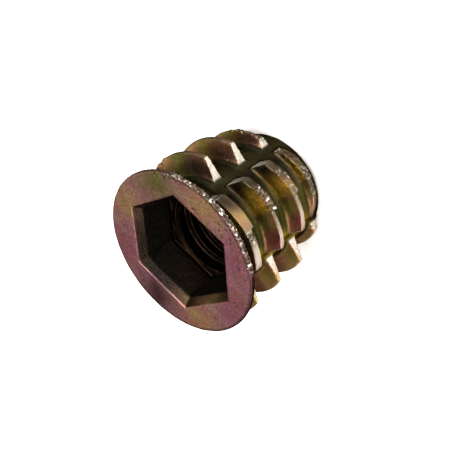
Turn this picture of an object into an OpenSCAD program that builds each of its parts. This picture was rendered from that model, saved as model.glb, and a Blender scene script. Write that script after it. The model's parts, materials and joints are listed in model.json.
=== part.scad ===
// Screw-in threaded insert for wood, die cast in zinc as one piece.
// It stands on its entry end, with the flange on top. The axis is Z and the entry end lies at z = 0.
// Depths are measured down from the flange's face. The sizes follow from the screw outwards: the screw
// passes through the key socket, the core holds the socket, and the ridges and the flange stand on the core.

/* [Screw and bore] */
// Nominal diameter of the screw that the insert takes, which is also the size of its key
screw_d = 8; // [6:0.5:12]
// How much smaller than the screw the bore is, at the tips of the internal thread
tip_cut = 1.2; // [0.8:0.1:1.6]
// Width of the countersink where the socket meets the bore
seat_w = 0.5; // [0.2:0.1:0.6]
// Depth of that countersink below the socket
seat_h = 0.5; // [0.3:0.05:0.8]
// Width and height of the countersink at the entry end
exit_w = 0.7; // [0.3:0.1:0.9]

/* [Key socket] */
// Clearance of the key, and of the screw that passes it, across the flats at the bottom of the socket
key_clearance = 0.2; // [0.1:0.05:0.4]
// Depth of the socket below the flange's face
socket_depth = 3.8; // [3:0.1:5]
// Draft of each wall of the socket, in degrees
socket_draft = 4; // [1:0.5:5]
// Width of the lead-in round the mouth of the socket
lead_w = 0.59; // [0.3:0.01:0.8]
// Depth of the lead-in
lead_depth = 0.75; // [0.4:0.05:1.2]

/* [Body] */
// Height over everything, from the entry end to the flange's face
insert_h = 13; // [11:0.1:18]
// Wall of the core at the corners of the socket's bottom
socket_wall = 0.265; // [0.2:0.005:0.6]
// Chamfer at the foot of the core
foot_chamfer = 0.2; // [0.1:0.05:0.4]
// How far the flange stands out beyond the ridges
flange_lip = 0.1; // [0.05:0.05:2]
// Thickness of the flange at its rim
flange_t = 0.4; // [0.3:0.05:1]
// Wall round the corners of the lead-in, in the cone that joins the flange to the core
neck_wall = 0.65; // [0.4:0.05:0.8]
// Height of that cone
neck_h = 2.8; // [2.2:0.1:3.4]

/* [Wood thread] */
// Axial distance from one turn to the next
pitch = 3.2; // [2.6:0.1:4]
// Height of the ridges above the core, at the flange
ridge_h = 2.4; // [1.8:0.1:3]
// Depth of the first ridge's middle, at the pad that it starts from
first_depth = 1.9; // [1.6:0.1:2.4]
// How much lower the ridges are where the lead-in taper starts
taper_drop = 0.45; // [0:0.05:0.8]
// Height above the entry end at which that taper starts
taper_h = 3.8; // [2:0.1:6]
// How much lower the ridges are at the entry end
tip_drop = 2; // [1:0.1:2.4]
// Thickness of a ridge at its foot, on the core
ridge_foot_w = 0.8; // [0.5:0.05:1]
// Thickness of a ridge at its full height
ridge_tip_w = 0.22; // [0.15:0.01:0.4]
// Radius of the hollow between a ridge's foot and the core
root_fillet = 0.45; // [0.1:0.05:0.6]
// Width across a pad of ridges, whose two ends are parallel so that its mould can open
pad_w = 6.6; // [5:0.1:7]
// Turn of the first pad about the axis, from +X
pad_turn = 60; // [0:1:89]
// How far the ridges on the mould's parting plane are lower than the others
parting_drop = 0.3; // [0:0.05:0.5]
// How much shorter the curve of the ridges is than the thread's radius, on the parting plane
parting_round = 1.5; // [0:0.1:2]
// The same on the pad that lies wholly in the deeper half of the mould
deep_round = 1.9; // [0:0.1:2]
// Added thickness of the ridges beside the parting plane, where the metal was fed in
gate_w = 0.4; // [0.1:0.05:0.6]
// Added thickness of the first ridge on its upper side, where it runs out to the flange
runout_w = 0.4; // [0.1:0.05:0.6]

/* [Hidden] */
$fn = 96;
eps = 0.01;
bore_r = (screw_d - tip_cut) / 2;
socket_af = screw_d + key_clearance;
core_r = socket_af / 2 / cos(30) + socket_wall;
thread_r = core_r + ridge_h;
flange_r = thread_r + flange_lip;
socket_rise = socket_depth - lead_depth;
socket_top_af = socket_af + 2 * socket_rise * tan(socket_draft);
mouth_af = socket_top_af + 2 * lead_w;
neck_r = mouth_af / 2 / cos(30) + neck_wall;
pads = 4;
pad_drop = [parting_drop, 0, parting_drop, 0];
pad_round = [parting_round, 0, parting_round, deep_round];
sink = 0.4;                                      // how far a ridge's foot reaches into the core
lead_tilt = atan(pitch / (2 * PI * thread_r));   // slope of the helix at the thread's diameter
pad_step = pitch / pads;
segments = floor((insert_h - first_depth - ridge_foot_w / 2) / pad_step) + 1;
zinc = "#b9a58c";

// Outer limit of the ridges on a pad that looks along +X: lower by drop, and more curved by round
module crest_envelope(drop, round) {
    limit_r = thread_r - drop - round;
    translate([round, 0, 0])
        rotate_extrude()
            polygon([
                [0, 0],
                [limit_r - tip_drop, 0],
                [limit_r - taper_drop, taper_h],
                [limit_r, insert_h - flange_t],
                [0, insert_h - flange_t]
            ]);
}

// Half of a ridge's section, above its middle, with the hollow at its foot as an arc
function half_section(thicker) = [
    [core_r - sink, ridge_foot_w / 2 + thicker + root_fillet],
    for (turn = [0:30:90])
        [core_r + root_fillet * (1 - cos(turn)), ridge_foot_w / 2 + thicker + root_fillet * (1 - sin(turn))],
    [thread_r, ridge_tip_w / 2 + thicker]
];

// One turn of ridge as a flat ring, thickened above and below its middle
module ridge_ring(above = 0, below = 0) {
    lower = [for (point = half_section(below)) [point.x, -point.y]];
    upper = half_section(above);
    rotate_extrude()
        polygon(concat(lower, [for (i = [len(upper) - 1:-1:0]) upper[i]]));
}

// Ring tilted to the slope of the helix, so that it follows the thread across a pad
module tilted_ridge(depth, above = 0, below = 0) {
    translate([0, 0, insert_h - depth])
        rotate([lead_tilt, 0, 0])
            ridge_ring(above, below);
}

// The piece of the thread that one pad holds. The first ridge runs out to the flange, and the
// ridges of the gated pad are thicker on one side of the parting plane.
module ridge_piece(index) {
    depth = first_depth + index * pad_step;
    pad = index % pads;
    rotate([0, 0, pad_turn - index * 360 / pads])
        intersection() {
            crest_envelope(pad_drop[pad], pad_round[pad]);
            union() {
                intersection() {
                    tilted_ridge(depth, above = index == 0 ? runout_w : 0);
                    translate([0, -pad_w / 2, 0])
                        cube([flange_r, pad_w, insert_h]);
                }
                if (pad == 0)
                    intersection() {
                        tilted_ridge(depth, below = gate_w);
                        cube([flange_r, pad_w / 2, insert_h]);
                    }
            }
        }
}

// Hexagonal hole whose six walls lean outwards to the top
module hex_taper(af_low, af_high, height) {
    intersection_for (side = [0:2])
        rotate([0, 0, 30 + side * 60])
            rotate([90, 0, 0])
                linear_extrude(height = 2 * mouth_af, center = true)
                    polygon([
                        [-af_low / 2, 0],
                        [af_low / 2, 0],
                        [af_high / 2, height],
                        [-af_high / 2, height]
                    ]);
}

// Core, the cone above it, and the flange
module core_and_flange() {
    flange_z = insert_h - flange_t;
    rotate_extrude()
        polygon([
            [0, 0],
            [core_r - foot_chamfer, 0],
            [core_r, foot_chamfer],
            [core_r, flange_z - neck_h],
            [neck_r, flange_z],
            [flange_r, flange_z],
            [flange_r, insert_h],
            [0, insert_h]
        ]);
}

module insert() {
    color(zinc)
        difference() {
            union() {
                core_and_flange();
                for (index = [0:segments - 1])
                    ridge_piece(index);
            }
            // Bore right through, with a countersink at each end
            translate([0, 0, -eps])
                cylinder(r = bore_r, h = insert_h + 2 * eps);
            translate([0, 0, -eps])
                cylinder(r1 = bore_r + exit_w + eps, r2 = bore_r, h = exit_w + eps);
            translate([0, 0, insert_h - socket_depth - seat_h])
                cylinder(r1 = bore_r, r2 = bore_r + seat_w, h = seat_h + eps);
            // Socket for the key, and its lead-in
            translate([0, 0, insert_h - socket_depth])
                hex_taper(socket_af, socket_top_af, socket_rise + eps);
            translate([0, 0, insert_h - lead_depth])
                hex_taper(socket_top_af, mouth_af, lead_depth);
            translate([0, 0, insert_h])
                hex_taper(mouth_af, mouth_af, 1);
        }
}

insert();
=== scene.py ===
import json
import math

import bpy
import numpy as np
from mathutils import Euler, Matrix, Vector, noise

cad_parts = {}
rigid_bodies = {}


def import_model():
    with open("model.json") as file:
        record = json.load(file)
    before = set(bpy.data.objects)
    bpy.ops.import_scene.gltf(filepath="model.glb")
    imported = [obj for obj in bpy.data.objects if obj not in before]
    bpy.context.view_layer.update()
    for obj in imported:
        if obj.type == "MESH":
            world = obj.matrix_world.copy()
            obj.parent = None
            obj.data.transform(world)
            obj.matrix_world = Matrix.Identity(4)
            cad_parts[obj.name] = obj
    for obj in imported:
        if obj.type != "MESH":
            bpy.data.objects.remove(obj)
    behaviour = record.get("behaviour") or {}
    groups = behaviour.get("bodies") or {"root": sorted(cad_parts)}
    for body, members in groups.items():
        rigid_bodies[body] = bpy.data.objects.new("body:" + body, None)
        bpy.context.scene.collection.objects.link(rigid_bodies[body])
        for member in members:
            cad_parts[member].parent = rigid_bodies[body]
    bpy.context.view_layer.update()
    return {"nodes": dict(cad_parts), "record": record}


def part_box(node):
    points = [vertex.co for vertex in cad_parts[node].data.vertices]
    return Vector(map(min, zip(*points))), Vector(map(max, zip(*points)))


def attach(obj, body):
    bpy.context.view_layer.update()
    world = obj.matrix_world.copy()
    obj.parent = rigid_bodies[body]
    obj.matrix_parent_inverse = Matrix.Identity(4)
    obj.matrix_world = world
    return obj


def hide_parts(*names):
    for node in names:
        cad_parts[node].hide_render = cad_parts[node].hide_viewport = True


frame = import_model()
print("frame loaded")

mm = 0.001                                  # one millimetre in the scene's metres


def linearColour(hexText):                  # sRGB hex to the linear colour that the shaders use
    parts = [int(hexText[i:i + 2], 16) / 255 for i in (1, 3, 5)]
    return tuple(p / 12.92 if p <= 0.04045 else ((p + 0.055) / 1.055) ** 2.4 for p in parts) + (1.0,)


# settings go by name, and links from an input's name to an output socket
def addNode(tree, kind, settings=None, links=None):
    node = tree.nodes.new(kind)
    for name, value in (settings or {}).items():
        if isinstance(name, str) and hasattr(node, name):
            setattr(node, name, value)
        else:
            node.inputs[name].default_value = value
    for name, socket in (links or {}).items():
        tree.links.new(socket, node.inputs[name])
    return node


def deselectAll():
    for thing in bpy.context.view_layer.objects:
        thing.select_set(False)


def makeActive(piece):
    deselectAll()
    piece.select_set(True)
    bpy.context.view_layer.objects.active = piece


def addModifier(piece, kind, settings):     # adds a modifier and applies it at once
    modifier = piece.modifiers.new(kind.title(), kind)
    for name, value in settings.items():
        setattr(modifier, name, value)
    makeActive(piece)
    bpy.ops.object.modifier_apply(modifier=modifier.name)


cameraView = {
    "turn": 75.46,                          # degrees round the object from +X
    "rise": 38.73,                          # degrees above the floor
    "roll": -126.87,                        # degrees, the insert lies aslant in the picture
    "distance": 84.88 * mm,
    "aim": Vector((0.37, -0.52, 7.01)) * mm,
    "lens": 78.84,                          # mm on a 36 mm sensor
}


def setCamera():
    data = bpy.data.cameras.new("view_camera")
    data.lens = cameraView["lens"]
    data.sensor_width = 36
    data.clip_start = 0.001
    camera = bpy.data.objects.new("view_camera", data)
    bpy.context.scene.collection.objects.link(camera)
    turn = Euler((math.radians(90 - cameraView["rise"]), 0, math.radians(cameraView["turn"] + 90)))
    matrix = turn.to_matrix() @ Matrix.Rotation(math.radians(cameraView["roll"]), 3, "Z")
    place = cameraView["aim"] + matrix @ Vector((0, 0, cameraView["distance"]))
    camera.matrix_world = Matrix.Translation(place) @ matrix.to_4x4()
    bpy.context.scene.camera = camera


studio = {
    "floorSize": 1.2,                       # metres
    "floorColour": "#f7f7f6",
    "skyColour": "#eef1f5",
    "skyStrength": 0.30,
    # name: (turn, rise in degrees, distance and size in metres, watts, colour)
    "lamps": {
        "overhead_softbox": (200, 82, 0.45, 0.30, 1.3, "#ffffff"),
        "front_softbox": (104, 60, 0.45, 0.26, 2.6, "#ffffff"),
        "near_softbox": (62, 24, 0.40, 0.12, 0.9, "#fffaf2"),
        "side_softbox": (-20, 44, 0.45, 0.22, 1.6, "#fff4ea"),
    },
}


def setFloor():
    bpy.ops.mesh.primitive_grid_add(x_subdivisions=8, y_subdivisions=8, size=studio["floorSize"])
    floor = bpy.context.object
    floor.name = "studio_floor"
    material = bpy.data.materials.new("matt_paper_floor")   # plain matt paper
    material.use_nodes = True
    shader = material.node_tree.nodes["Principled BSDF"]
    shader.inputs["Base Color"].default_value = linearColour(studio["floorColour"])
    shader.inputs["Roughness"].default_value = 0.9
    floor.data.materials.append(material)


def setLight():
    world = bpy.data.worlds.new("studio_sky")
    world.use_nodes = True
    sky = world.node_tree.nodes["Background"]
    sky.inputs["Color"].default_value = linearColour(studio["skyColour"])
    sky.inputs["Strength"].default_value = studio["skyStrength"]
    bpy.context.scene.world = world
    for name, (turn, rise, distance, size, watts, colour) in studio["lamps"].items():
        data = bpy.data.lights.new(name, "AREA")
        data.shape = "DISK"
        data.size = size
        data.energy = watts
        data.color = linearColour(colour)[:3]
        lamp = bpy.data.objects.new(name, data)
        bpy.context.scene.collection.objects.link(lamp)
        out = Vector((math.cos(math.radians(turn)) * math.cos(math.radians(rise)),
                      math.sin(math.radians(turn)) * math.cos(math.radians(rise)),
                      math.sin(math.radians(rise))))
        lamp.location = out * distance
        lamp.rotation_euler = out.to_track_quat("Z", "Y").to_euler()
    bpy.context.scene.view_settings.view_transform = "Standard"


nodeLow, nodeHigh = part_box("insert")
boreMount = next(m for m in frame["record"]["mounts"] if m["name"] == "screw_thread")

casting = {
    "height": (nodeHigh.z - nodeLow.z) / mm,
    "flangeRadius": (nodeHigh.x - nodeLow.x) / 2 / mm,
    "boreRadius": boreMount["dims"]["r_mm"],
    "threadPitch": 1.25,                    # M8 coarse
    "threadMajorRadius": 4.02,
    "threadRootFlat": 0.16,
    "voxel": 0.075,                         # size of the remesh's cells
    "smoothing": 5,                         # passes that round the cast edges
    "triangles": 190000,
}

# small holes left by gas in the casting, on the flange: (turn, distance from the axis, radius)
gasPits = [
    (75, 6.35, 0.13), (71, 6.0, 0.10), (66, 5.9, 0.11), (69, 6.75, 0.09), (62, 6.55, 0.12), (59, 6.3, 0.10),
    (39, 6.3, 0.10), (31, 6.9, 0.08), (98, 5.35, 0.14), (126, 7.05, 0.12), (134, 7.2, 0.11), (-28, 6.2, 0.10),
    (2, 6.4, 0.08), (-60, 6.7, 0.08), (170, 6.9, 0.07), (205, 6.2, 0.08), (255, 6.6, 0.09),
]


def castingCopy():
    mesh = frame["nodes"]["insert"].data.copy()
    mesh.materials.clear()
    piece = bpy.data.objects.new("die_cast_insert", mesh)
    bpy.context.scene.collection.objects.link(piece)
    makeActive(piece)
    bpy.ops.object.mode_set(mode="EDIT")
    bpy.ops.mesh.select_all(action="SELECT")
    bpy.ops.transform.resize(value=(1 / mm, 1 / mm, 1 / mm), center_override=(0, 0, 0))
    bpy.ops.mesh.remove_doubles(threshold=0.001)
    bpy.ops.object.mode_set(mode="OBJECT")
    return piece


def threadCutter():                         # one tooth gap of the M8 thread, run up the bore as a helix
    pitch = casting["threadPitch"]
    inner, outer = casting["boreRadius"] - 0.25, casting["threadMajorRadius"]
    tan30 = math.tan(math.radians(30))
    bpy.ops.mesh.primitive_plane_add(size=1)
    cutter = bpy.context.object
    cutter.name = "thread_cutter"
    bpy.ops.object.mode_set(mode="EDIT")
    bpy.ops.mesh.select_all(action="SELECT")
    bpy.ops.transform.rotate(value=math.radians(90), orient_axis="X", center_override=(0, 0, 0))
    bpy.ops.transform.resize(value=(outer - inner, 1, casting["threadRootFlat"]), center_override=(0, 0, 0))
    bpy.ops.transform.translate(value=((outer + inner) / 2, 0, -pitch))
    bpy.ops.object.mode_set(mode="OBJECT")
    for vertex in cutter.data.vertices:
        vertex.select = vertex.co.x < (outer + inner) / 2
    for face in cutter.data.polygons:
        face.select = False
    widen = 1 + 2 * (outer - inner) * tan30 / casting["threadRootFlat"]
    bpy.ops.object.mode_set(mode="EDIT")
    bpy.ops.mesh.select_mode(type="VERT")
    bpy.ops.transform.resize(value=(1, 1, widen), center_override=(0, 0, -pitch))
    bpy.ops.object.mode_set(mode="OBJECT")
    turns = math.ceil(casting["height"] / pitch) - 1
    addModifier(cutter, "SCREW", {"axis": "Z", "angle": math.tau, "screw_offset": pitch, "iterations": turns,
                                  "steps": 48, "render_steps": 48, "use_merge_vertices": False})
    bpy.ops.object.mode_set(mode="EDIT")
    bpy.ops.mesh.select_all(action="SELECT")
    bpy.ops.mesh.fill_holes(sides=4)
    bpy.ops.mesh.select_all(action="SELECT")
    bpy.ops.mesh.normals_make_consistent(inside=False)
    bpy.ops.object.mode_set(mode="OBJECT")
    return cutter


def pitCutter():                            # all gas pits in one object
    pits = []
    for turn, out, radius in gasPits:
        angle = math.radians(turn)
        place = (out * math.cos(angle), out * math.sin(angle), casting["height"] + radius * 0.35)
        bpy.ops.mesh.primitive_ico_sphere_add(subdivisions=2, radius=radius, location=place)
        pits.append(bpy.context.object)
    deselectAll()
    for pit in pits:
        pit.select_set(True)
    bpy.context.view_layer.objects.active = pits[0]
    bpy.ops.object.join()
    bpy.ops.object.transform_apply(location=True, rotation=True, scale=True)
    return pits[0]


def vertexFields(piece):                    # places, normals and cylinder places of all vertices, in mm
    mesh = piece.data
    count = len(mesh.vertices)
    place = np.empty(count * 3)
    normal = np.empty(count * 3)
    mesh.vertices.foreach_get("co", place)
    mesh.vertex_normals.foreach_get("vector", normal)
    place = place.reshape(-1, 3)
    normal = normal.reshape(-1, 3)
    radius = np.hypot(place[:, 0], place[:, 1])
    turn = np.degrees(np.arctan2(place[:, 1], place[:, 0]))
    outward = (normal[:, 0] * place[:, 0] + normal[:, 1] * place[:, 1]) / np.maximum(radius, 0.01)
    return place, normal, radius, turn, outward


def step(value, low, high):                 # smooth step from 0 at low to 1 at high
    t = np.clip((value - low) / (high - low), 0, 1)
    return t * t * (3 - 2 * t)


def between(value, low, high, soft):
    return step(value, low - soft, low + soft) * (1 - step(value, high - soft, high + soft))


def across(place, turn):                    # distance along and across a direction in the flange's plane
    angle = math.radians(turn)
    along = place[:, 0] * math.cos(angle) + place[:, 1] * math.sin(angle)
    side = place[:, 1] * math.cos(angle) - place[:, 0] * math.sin(angle)
    return along, side


# the four pads of ridges: (turn of the middle, how much lower and how much more curved the crests are, in mm)
pads = ((60, 0.3, 1.5), (150, 0.0, 1.9), (240, 0.3, 1.5), (-30, 0.0, 0.0))


def crestGap(place):                        # how far each vertex lies below the crests of its pad, in mm
    lowered = np.interp(place[:, 2], (0, 3.8, 12.6), (2.0, 0.45, 0.0))
    gap = np.full(len(place), 9.0)
    for padTurn, drop, curve in pads:
        along, side = across(place, padTurn)
        reach = casting["flangeRadius"] - 0.1 - drop - curve - lowered
        crest = curve + np.sqrt(np.maximum(reach ** 2 - side ** 2, 0))
        gap = np.where((along > 3) & (np.abs(side) < 3.5), np.minimum(gap, crest - along), gap)
    return gap


def trimmedZones(piece):                    # where the gate and the flash were broken off, 0 to 1
    place, normal, radius, turn, outward = vertexFields(piece)
    depth = casting["height"] - place[:, 2]
    rimRadius = casting["flangeRadius"]
    rim = between(turn, 38, 124, 5) * step(radius, rimRadius - 0.4, rimRadius - 0.1)
    rim = rim * (1 - step(depth, 0.6, 0.9))
    along, side = across(place, pads[0][0])
    land = (1 - step(crestGap(place), 0.06, 0.2)) * step(outward, 0.3, 0.6)
    land = land * (along > 0) * step(depth, 0.9, 1.3)
    gate = land * between(side, -0.3, 2.3, 0.4) * step(depth, 3.2, 3.6) * (1 - step(depth, 9.3, 10.2))
    gate = gate * (1 - 0.5 * step(depth, 6.4, 6.8))
    gate = gate + land * between(side, -1.2, -0.1, 0.3) * (1 - step(depth, 3.2, 3.6))
    lastLand = land * step(depth, 9.3, 10.2) * between(side, -1.5, 1.3, 0.4)
    deepAlong, deepSide = across(place, pads[1][0])
    flash = (1 - step(crestGap(place), 0.1, 0.35)) * (deepAlong > 0) * (radius > 5.2)
    flash = flash * np.maximum(step(deepSide, 0.8, 1.4) * between(depth, 2.5, 5.4, 0.1),
                               (1 - step(deepSide, -0.9, -0.3)) * step(depth, 9.0, 9.4))
    ends = np.zeros(len(radius))
    for padTurn, drop, curve in pads[1::2]:
        padAlong, padSide = across(place, padTurn)
        facing = math.radians(pads[0][0])
        faceOut = np.abs(normal[:, 0] * math.cos(facing) + normal[:, 1] * math.sin(facing))
        padEnd = step(faceOut, 0.55, 0.85) * step(np.abs(padSide), 3.0, 3.2) * step(radius, 5.1, 5.4)
        ends = np.maximum(ends, padEnd * (np.abs(padSide) < 3.6) * (padAlong > 0))
    return {"rim": rim, "gate": gate, "lastLand": lastLand, "flash": flash, "ends": ends}


def wornCorners(piece):                     # the corners of the ridges where a mould half pulled off
    place, normal, radius, turn, outward = vertexFields(piece)
    worn = np.zeros(len(radius))
    for padTurn in (pads[0][0], pads[3][0]):
        along, side = across(place, padTurn)
        worn = np.maximum(worn, (along > 3) * between(side, 2.55, 3.6, 0.3))
    return worn * (1 - step(crestGap(place), 0.35, 0.9)) * (place[:, 2] < casting["height"] - 0.8)


def addWeights(piece, name, weights):       # a vertex group in twelve steps of weight
    group = piece.vertex_groups.new(name=name)
    levels = np.round(weights * 12).astype(int)
    for level in range(1, 13):
        picked = np.nonzero(levels == level)[0]
        if len(picked):
            group.add(picked.tolist(), level / 12, "REPLACE")


def roughen(piece, name, groupName, grain, depth):   # grain and depth in mm
    texture = bpy.data.textures.new(name, "CLOUDS")
    texture.noise_scale = grain
    texture.noise_depth = 2
    settings = {"texture": texture, "texture_coords": "LOCAL", "strength": depth, "mid_level": 0.5}
    if groupName:
        settings["vertex_group"] = groupName
    addModifier(piece, "DISPLACE", settings)


def castSkin(piece):
    cutter = threadCutter()
    addModifier(piece, "BOOLEAN", {"operation": "DIFFERENCE", "object": cutter, "solver": "EXACT"})
    pits = pitCutter()
    addModifier(piece, "BOOLEAN", {"operation": "DIFFERENCE", "object": pits, "solver": "EXACT"})
    for helper in (cutter, pits):
        bpy.data.objects.remove(helper)
    addModifier(piece, "REMESH", {"mode": "VOXEL", "voxel_size": casting["voxel"]})
    addModifier(piece, "SMOOTH", {"factor": 0.5, "iterations": casting["smoothing"]})
    print("cast skin:", len(piece.data.polygons), "faces")
    addWeights(piece, "wornCorners", wornCorners(piece))
    addModifier(piece, "SMOOTH", {"factor": 0.5, "iterations": 30, "vertex_group": "wornCorners"})
    for name, weights in trimmedZones(piece).items():
        addWeights(piece, name, weights)
    roughen(piece, "mould_skin", None, 0.9, 0.05)
    roughen(piece, "torn_rim", "rim", 0.20, 0.24)
    roughen(piece, "torn_gate", "gate", 0.18, 0.20)
    roughen(piece, "pocked_land", "lastLand", 0.22, 0.16)
    roughen(piece, "broken_flash", "flash", 0.30, 0.30)
    roughen(piece, "rough_ends", "ends", 0.18, 0.08)
    triangles = sum(len(face.vertices) - 2 for face in piece.data.polygons)
    if triangles > casting["triangles"]:
        addModifier(piece, "DECIMATE", {"ratio": casting["triangles"] / triangles})
    piece.vertex_groups.clear()
    print("cast skin:", len(piece.data.polygons), "triangles kept")


# each kind of surface has a ground colour; the dark grounds of the socket walls and the seat are painted shade
# deep in the socket over the film's colour
filmAndShadeGround = {
    "core": "#56513a", "root": "#5c4a30", "flankUp": "#7c5a48", "gateSide": "#4a4028", "flankDown": "#8a6c5a",
    "crest": "#8c7c68", "end": "#e4dccf", "flange": "#c08a8c", "lead": "#2c2220", "socket": "#3c3a30",
    "bore": "#5a453a", "seat": "#2c2014", "rim": "#7a6460", "entry": "#a98c76",
}

# how dark each kind of surface is painted against its colours below, set to how the light falls on it: painted
# shade, darkest in the valleys between the ridges (core, root) and deep in the socket (bore, seat)
paintedShadeTone = {
    "core": 0.3, "root": 0.3, "flankUp": 1.0, "gateSide": 1.0, "flankDown": 0.6, "crest": 0.5, "end": 0.9,
    "flange": 0.7, "lead": 0.5, "socket": 0.9, "bore": 0.15, "seat": 0.2, "rim": 0.4, "entry": 0.6,
}

# the film's own colours, from where it is thick to where it is nearly worn off
filmColours = {
    "dark": "#2c2620", "brown": "#52403a", "plum": "#70443f", "olive": "#80803c", "rose": "#b4747c",
    "straw": "#cda274", "gold": "#e0bc54", "bare": "#ece0d0",
}

# the flange has one broad field every 45 degrees, from +X round; the brown field at 270 degrees is the film's
# colour darkened as painted shade
flangeFilmAndShade = ("rose", "rose", "straw", "olive", "straw", "rose", "brown", "straw")

# the same fields lie on each ridge of a pad: pad, kind of surface, degrees from the pad's middle,
# mm above the core, spread in mm, colour
ridgeFilm = (
    (150, "flankUp", 0, 1.2, 1.6, "olive"), (150, "flankUp", -20, 0.6, 1.0, "brown"),
    (150, "flankUp", 10, 1.8, 1.0, "straw"), (60, "flankUp", -10, 0.8, 1.0, "olive"),
    (60, "flankUp", -20, 1.6, 1.2, "plum"), (60, "gateSide", 10, 0.8, 1.2, "gold"),
    (60, "gateSide", 30, 1.0, 1.2, "dark"), (-30, "flankUp", 20, 1.4, 1.4, "straw"),
    (-30, "flankUp", 25, 1.0, 0.8, "olive"), (60, "end", 30, 1.6, 1.4, "dark"),
    (-30, "end", 25, 2.0, 1.2, "straw"), (60, "crest", -20, 2.0, 1.6, "bare"),
    (60, "crest", 10, 2.0, 1.0, "straw"), (60, "crest", 25, 2.0, 1.4, "dark"),
    (150, "crest", 0, 2.0, 2.4, "brown"), (-30, "crest", 25, 2.0, 1.4, "bare"),
)

coreFilm = ((15, "gold"), (50, "olive"), (95, "dark"))      # degrees of turn, in each gap between two ridges

# inside: kind of surface, turn, depth, radius, spread in mm, colour; the seat field at -50 degrees is a painted
# highlight where light falls on the shoulder
insideFilmAndHighlight = (
    ("lead", 180, 0.4, 5.0, 2.4, "brown"), ("lead", 15, 0.4, 4.8, 1.6, "plum"),
    ("lead", -120, 0.4, 4.8, 2.6, "dark"), ("lead", -30, 0.4, 4.8, 2.0, "straw"),
    ("socket", -75, 2.4, 4.3, 2.0, "brown"), ("seat", -50, 4.0, 3.9, 1.2, "brown"),
)


woodThread = {                              # the outer thread as the casting has it, in mm
    "pitch": 3.2,
    "ridges": 4,                            # on each pad
    "firstDepth": 1.9,                      # of the first ridge, on the first pad
    "coreRadius": 5.0,
}


# turn, depth, radius, spread and colour of each field on one kind of surface
def filmFields(kind):
    pitch = woodThread["pitch"]
    coreRadius = woodThread["coreRadius"]
    firstPad = pads[0][0]
    fields = []
    if kind == "flange":
        fields += [(sector * 45, 0, 6.4, 2.0, name) for sector, name in enumerate(flangeFilmAndShade)]
    for padTurn, fieldKind, offset, above, spread, name in ridgeFilm:
        if fieldKind == kind:
            firstDepth = woodThread["firstDepth"] + (firstPad - padTurn) % 360 / 360 * pitch
            for ridge in range(woodThread["ridges"]):
                depth = firstDepth - 0.2 + pitch * ridge    # 0.2 up, on the ridge's upper flank
                fields.append((padTurn + offset, depth, coreRadius + above, spread, name))
    if kind == "core":
        for turnAt, name in coreFilm:
            fields += [(turnAt, 3.6 + pitch * gap, coreRadius, 1.2, name) for gap in range(3)]
    fields += [field[1:] for field in insideFilmAndHighlight if field[0] == kind]
    return fields


def surfaceKinds(place, normal, radius, turn, outward):   # how much each vertex belongs to each kind
    depth = casting["height"] - place[:, 2]
    up = normal[:, 2]
    bodySide = step(radius, 4.75, 4.9)
    ridge = step(radius, 5.1, 5.3) * step(depth, 0.5, 0.6)
    inside = 1 - bodySide
    kinds = {}
    kinds["core"] = bodySide
    kinds["flankUp"] = ridge * step(up, 0.35, 0.75)
    crest = (1 - step(crestGap(place), 0.08, 0.18)) * step(depth, 0.5, 0.6) * step(outward, 0.45, 0.75)
    kinds["crest"] = crest * step(radius, 5.12, 5.25)
    along, side = across(place, pads[0][0])
    kinds["gateSide"] = kinds["flankUp"] * (along > 0) * (side < 3.5) * step(side, -0.06, 0.06)
    # the root of each ridge is a kind of its own so that it can be painted darker as shade
    root = ridge * (1 - step(radius, 5.35, 5.6)) * step(outward, 0.3, 0.6)
    kinds["root"] = root * (1 - step(side, -0.2, 0.1))
    kinds["flankDown"] = ridge * step(-up, 0.35, 0.75)
    sideways = np.sqrt(np.clip(1 - up ** 2 - outward ** 2, 0, 1))
    offSide = np.min([np.abs(np.abs(across(place, pad[0])[1]) - 3.3) for pad in pads], axis=0)
    kinds["end"] = ridge * step(sideways, 0.45, 0.7) * (offSide < 0.22)
    kinds["flange"] = step(up, 0.7, 0.9) * (1 - step(depth, 0.1, 0.2))
    kinds["rim"] = step(radius, 7.2, 7.35) * step(outward, 0.4, 0.7) * (1 - step(depth, 0.5, 0.6))
    kinds["socket"] = inside * (1 - step(depth, 3.7, 3.8)) * step(depth, 0.72, 0.8)
    kinds["lead"] = (1 - step(depth, 0.72, 0.8)) * step(-outward, 0.3, 0.5) * (1 - step(up, 0.75, 0.85))
    kinds["bore"] = inside * step(depth, 3.7, 3.8)
    kinds["seat"] = inside * between(depth, 3.5, 4.3, 0.06)
    kinds["entry"] = step(-up, 0.6, 0.9) * step(depth, 12.7, 12.85)
    return kinds


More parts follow.
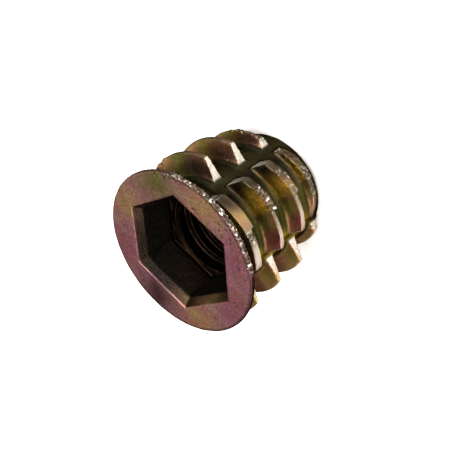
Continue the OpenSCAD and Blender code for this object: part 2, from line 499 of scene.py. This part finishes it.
def paintFilm(piece):
    place, normal, radius, turn, outward = vertexFields(piece)
    kinds = surfaceKinds(place, normal, radius, turn, outward)
    order = ["core", "bore", "socket", "seat", "flankDown", "flankUp", "gateSide", "root", "crest", "end",
             "rim", "lead", "flange", "entry"]
    colour = np.zeros((len(place), 3))
    noise.seed_set(1)                       # without a seed, the noise starts from the clock
    wander = np.array([noise.noise_vector(Vector(p) * 0.9) for p in place]) * 0.55
    moved = place + wander
    for kind in order:
        ground = np.tile(linearColour(filmAndShadeGround[kind])[:3], (len(place), 1))
        for turnAt, depthAt, radiusAt, spread, name in filmFields(kind):
            angle = math.radians(turnAt)
            centre = np.array([radiusAt * math.cos(angle), radiusAt * math.sin(angle),
                               casting["height"] - depthAt])
            reach = 0.9 * np.exp(-((moved - centre) ** 2).sum(1) / spread ** 2)[:, None]
            ground = ground * (1 - reach) + np.array(linearColour(filmColours[name])[:3]) * reach
        share = kinds[kind][:, None]
        # each kind's colour is scaled by its tone of painted shade
        colour = colour * (1 - share) + ground * paintedShadeTone[kind] * share
    for turnAt, out, pitRadius in gasPits:  # the pits are painted dark inside: painted shade in the holes
        angle = math.radians(turnAt)
        away = np.hypot(place[:, 0] - out * math.cos(angle), place[:, 1] - out * math.sin(angle))
        pit = np.exp(-(away / pitRadius) ** 2) * (place[:, 2] > casting["height"] - 0.5)
        colour *= 1 - 0.9 * pit[:, None]
    # painted shade: the flange's outer edge is darkened from -100 to 36 degrees
    edge = step(radius, casting["flangeRadius"] - 0.3, casting["flangeRadius"] - 0.08) * (place[:, 2] > 12.5)
    colour *= (1 - 0.75 * edge * between(turn, -100, 36, 4))[:, None]
    # the film colour holds the film's colours times the painted shade of each kind
    film = piece.data.attributes.new("film", "FLOAT_COLOR", "POINT")
    film.data.foreach_set("color", np.hstack([colour, np.ones((len(place), 1))]).astype(np.float32).ravel())
    zones = trimmedZones(piece)
    torn = np.maximum.reduce([zones["rim"], zones["gate"], zones["lastLand"] * 0.8, zones["ends"] * 0.5])
    bare = piece.data.attributes.new("torn", "FLOAT", "POINT")
    bare.data.foreach_set("value", torn.astype(np.float32))
    scuffs = piece.data.attributes.new("scuffed", "FLOAT", "POINT")
    scuffs.data.foreach_set("value", (kinds["gateSide"] * between(turn, 62, 80, 3)).astype(np.float32))
    lead = piece.data.attributes.new("sheared", "FLOAT", "POINT")
    sheared = kinds["lead"] * step(-place[:, 0] - 0.35 * place[:, 1], 0.2, 1.4)   # on the strips that face +X
    lead.data.foreach_set("value", sheared.astype(np.float32))


def passivatedZinc():
    # zinc die casting, zinc plated and yellow passivated: the thin film gives pink, gold and green
    # fields over a satin metal, and where metal was torn off it is bright and sparkling
    material = bpy.data.materials.new("yellow_passivated_cast_zinc")
    material.use_nodes = True
    tree = material.node_tree
    shader = tree.nodes["Principled BSDF"]
    shader.inputs["Metallic"].default_value = 1.0
    coords = addNode(tree, "ShaderNodeTexCoord")
    sized = addNode(tree, "ShaderNodeMapping", {"Scale": (1 / mm, 1 / mm, 1 / mm)},
                    {"Vector": coords.outputs["Object"]})   # the patterns below count in mm
    point = sized.outputs["Vector"]
    film = addNode(tree, "ShaderNodeAttribute", {"attribute_name": "film"}).outputs["Color"]
    torn = addNode(tree, "ShaderNodeAttribute", {"attribute_name": "torn"}).outputs["Fac"]
    sheared = addNode(tree, "ShaderNodeAttribute", {"attribute_name": "sheared"}).outputs["Fac"]
    scuffed = addNode(tree, "ShaderNodeAttribute", {"attribute_name": "scuffed"}).outputs["Fac"]

    clouds = addNode(tree, "ShaderNodeTexNoise", {"Scale": 0.8, "Detail": 5.0, "Roughness": 0.6},
                     {"Vector": point})
    hue = addNode(tree, "ShaderNodeMapRange",
                  {"From Min": 0.3, "From Max": 0.7, "To Min": 0.47, "To Max": 0.53},
                  {"Value": clouds.outputs["Fac"]})
    grain = addNode(tree, "ShaderNodeTexNoise", {"Scale": 5.0, "Detail": 4.0, "Roughness": 0.7},
                    {"Vector": point})
    value = addNode(tree, "ShaderNodeMapRange",
                    {"From Min": 0.3, "From Max": 0.7, "To Min": 0.8, "To Max": 1.2},
                    {"Value": grain.outputs["Fac"]})
    varied = addNode(tree, "ShaderNodeHueSaturation", {"Saturation": 1.05},
                     {"Hue": hue.outputs["Result"], "Value": value.outputs["Result"], "Color": film})

    # torn metal: silver, gold and dark grains about a sixth of a millimetre wide, the torn metal's own grain with
    # painted glints in the white grains and painted shade in the dark ones
    grains = addNode(tree, "ShaderNodeTexVoronoi", {"Scale": 6.0}, {"Vector": point})
    grainGlintAndShadeRamp = addNode(tree, "ShaderNodeValToRGB", None, {"Fac": grains.outputs["Color"]})
    ramp = grainGlintAndShadeRamp.color_ramp
    ramp.elements[0].color = linearColour("#1c1814")
    ramp.elements[1].color = linearColour("#ffffff")
    for at, tint in ((0.3, "#332c26"), (0.5, "#857a6a"), (0.7, "#463e36"), (0.85, "#e4dcd0")):
        ramp.elements.new(at).color = linearColour(tint)
    patches = addNode(tree, "ShaderNodeTexNoise", {"Scale": 2.4, "Detail": 2.0}, {"Vector": point})
    patchTone = addNode(tree, "ShaderNodeMapRange",
                        {"From Min": 0.4, "From Max": 0.6, "To Min": 0.3, "To Max": 1.25},
                        {"Value": patches.outputs["Fac"]})
    patched = addNode(tree, "ShaderNodeVectorMath", {"operation": "SCALE"},
                      {0: grainGlintAndShadeRamp.outputs["Color"], "Scale": patchTone.outputs["Result"]})
    tornMix = addNode(tree, "ShaderNodeMix", {"data_type": "RGBA"})
    tornShare = addNode(tree, "ShaderNodeMath", {"operation": "MULTIPLY", 1: 0.75}, {0: torn})
    tree.links.new(tornShare.outputs[0], tornMix.inputs["Factor"])
    tree.links.new(varied.outputs["Color"], tornMix.inputs[6])
    tree.links.new(patched.outputs[0], tornMix.inputs[7])

    # shear marks on the lead-in, along the axis, about 0.15 mm apart
    strokes = addNode(tree, "ShaderNodeMapping", {"Scale": (11.0, 11.0, 0.6)}, {"Vector": point})
    shear = addNode(tree, "ShaderNodeTexNoise", {"Scale": 1.0, "Detail": 3.0},
                    {"Vector": strokes.outputs["Vector"]})
    shearTone = addNode(tree, "ShaderNodeMapRange",
                        {"From Min": 0.35, "From Max": 0.65, "To Min": 0.78, "To Max": 1.25},
                        {"Value": shear.outputs["Fac"]})
    shearMix = addNode(tree, "ShaderNodeMix", {"data_type": "FLOAT", 2: 1.0},
                       {0: sheared, 3: shearTone.outputs["Result"]})
    # thin bright scuffs that cross each other, on the flank next to the gate
    cracks = addNode(tree, "ShaderNodeTexVoronoi", {"feature": "DISTANCE_TO_EDGE", "Scale": 1.9},
                     {"Vector": point})
    scuff = addNode(tree, "ShaderNodeMapRange",
                    {"From Min": 0.0, "From Max": 0.03, "To Min": 2.0, "To Max": 1.0},
                    {"Value": cracks.outputs["Distance"]})
    scuffMix = addNode(tree, "ShaderNodeMix", {"data_type": "FLOAT", 2: 1.0},
                       {0: scuffed, 3: scuff.outputs["Result"]})
    tone = addNode(tree, "ShaderNodeMath", {"operation": "MULTIPLY"},
                   {0: shearMix.outputs[0], 1: scuffMix.outputs[0]})
    final = addNode(tree, "ShaderNodeVectorMath", {"operation": "SCALE"},
                    {0: tornMix.outputs[2], "Scale": tone.outputs[0]})
    tree.links.new(final.outputs[0], shader.inputs["Base Color"])

    # the film dulls the grazing reflection, and the sheared lead-in is duller still
    grazing = addNode(tree, "ShaderNodeMix",
                      {"data_type": "RGBA", 6: linearColour("#8c8074"), 7: linearColour("#2a2624")}, {0: sheared})
    tree.links.new(grazing.outputs[2], shader.inputs["Specular Tint"])

    rough = addNode(tree, "ShaderNodeMapRange",
                    {"From Min": 0.3, "From Max": 0.7, "To Min": 0.32, "To Max": 0.5},
                    {"Value": grain.outputs["Fac"]})
    tree.links.new(rough.outputs["Result"], shader.inputs["Roughness"])

    # bump: mould skin of 0.1 mm grain, coarser on torn metal, and the shear marks
    fine = addNode(tree, "ShaderNodeTexNoise", {"Scale": 9.0, "Detail": 3.0, "Roughness": 0.6},
                   {"Vector": point})
    coarse = addNode(tree, "ShaderNodeTexNoise", {"Scale": 4.0, "Detail": 3.0, "Roughness": 0.7},
                     {"Vector": point})
    tornHeight = addNode(tree, "ShaderNodeMath", {"operation": "MULTIPLY"},
                         {0: coarse.outputs["Fac"], 1: torn})
    shearShare = addNode(tree, "ShaderNodeMath", {"operation": "MULTIPLY", 1: 0.45}, {0: sheared})
    shearHeight = addNode(tree, "ShaderNodeMath", {"operation": "MULTIPLY"},
                          {0: shear.outputs["Fac"], 1: shearShare.outputs[0]})
    fineHeight = addNode(tree, "ShaderNodeMath", {"operation": "MULTIPLY", 1: 0.08}, {0: fine.outputs["Fac"]})
    height = addNode(tree, "ShaderNodeMath", {"operation": "ADD"},
                     {0: fineHeight.outputs[0], 1: tornHeight.outputs[0]})
    allHeight = addNode(tree, "ShaderNodeMath", {"operation": "ADD"},
                        {0: height.outputs[0], 1: shearHeight.outputs[0]})
    bump = addNode(tree, "ShaderNodeBump", {"Strength": 1.0, "Distance": 0.12 * mm},
                   {"Height": allHeight.outputs[0]})
    tree.links.new(bump.outputs["Normal"], shader.inputs["Normal"])
    return material


def buildInsert():
    piece = castingCopy()
    castSkin(piece)
    paintFilm(piece)
    print("film painted")
    makeActive(piece)
    bpy.ops.object.mode_set(mode="EDIT")
    bpy.ops.mesh.select_all(action="SELECT")
    bpy.ops.transform.resize(value=(mm, mm, mm), center_override=(0, 0, 0))
    bpy.ops.object.mode_set(mode="OBJECT")
    bpy.ops.object.shade_smooth()
    piece.data.materials.append(passivatedZinc())
    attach(piece, "root")
    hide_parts("insert")


setCamera()
setFloor()
setLight()
print("studio set")
buildInsert()
print("insert built")
